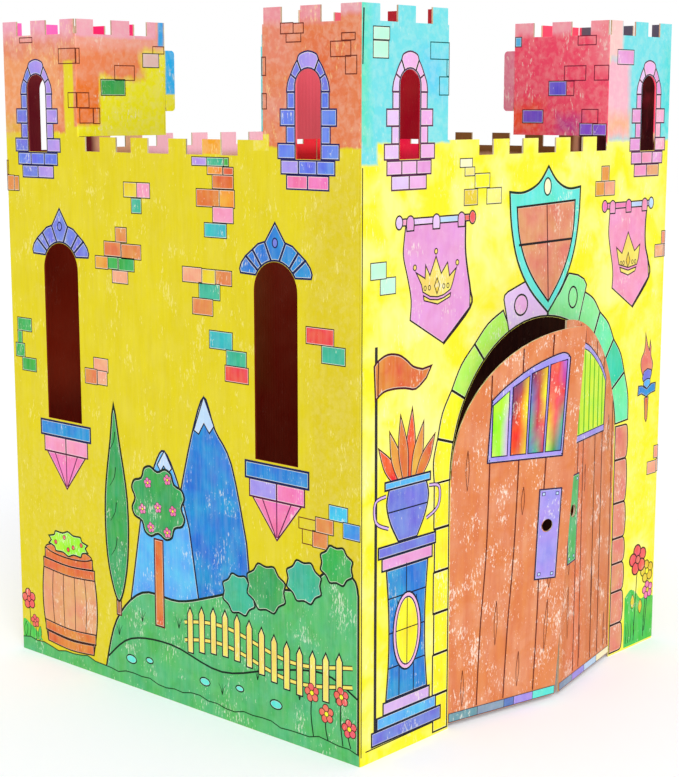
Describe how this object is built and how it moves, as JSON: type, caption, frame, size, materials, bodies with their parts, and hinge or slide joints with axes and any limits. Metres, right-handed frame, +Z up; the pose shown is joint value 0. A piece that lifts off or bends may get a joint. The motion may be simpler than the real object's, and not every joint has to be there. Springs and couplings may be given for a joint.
{
  "type": "cardboard play castle",
  "caption": "Folded cardboard play castle with corner towers, battlements, narrow arched windows and a pair of arched doors standing ajar, open at the top and the bottom.",
  "frame": {"origin": "middle of the overall box, on the ground", "axes": "+Z up; -Y out of the wall with the doors; +X to the right as seen from outside that wall"},
  "size_m": [0.813, 0.9202, 1.105],
  "materials": {
    "board_left": "matt printed liner, hand-coloured",
    "board_front": "matt printed liner, hand-coloured"
  },
  "bodies": {
    "root": {"back_and_left_blank": "board_left", "front_and_right_blank": "board_front"}
  },
  "joints": []
}
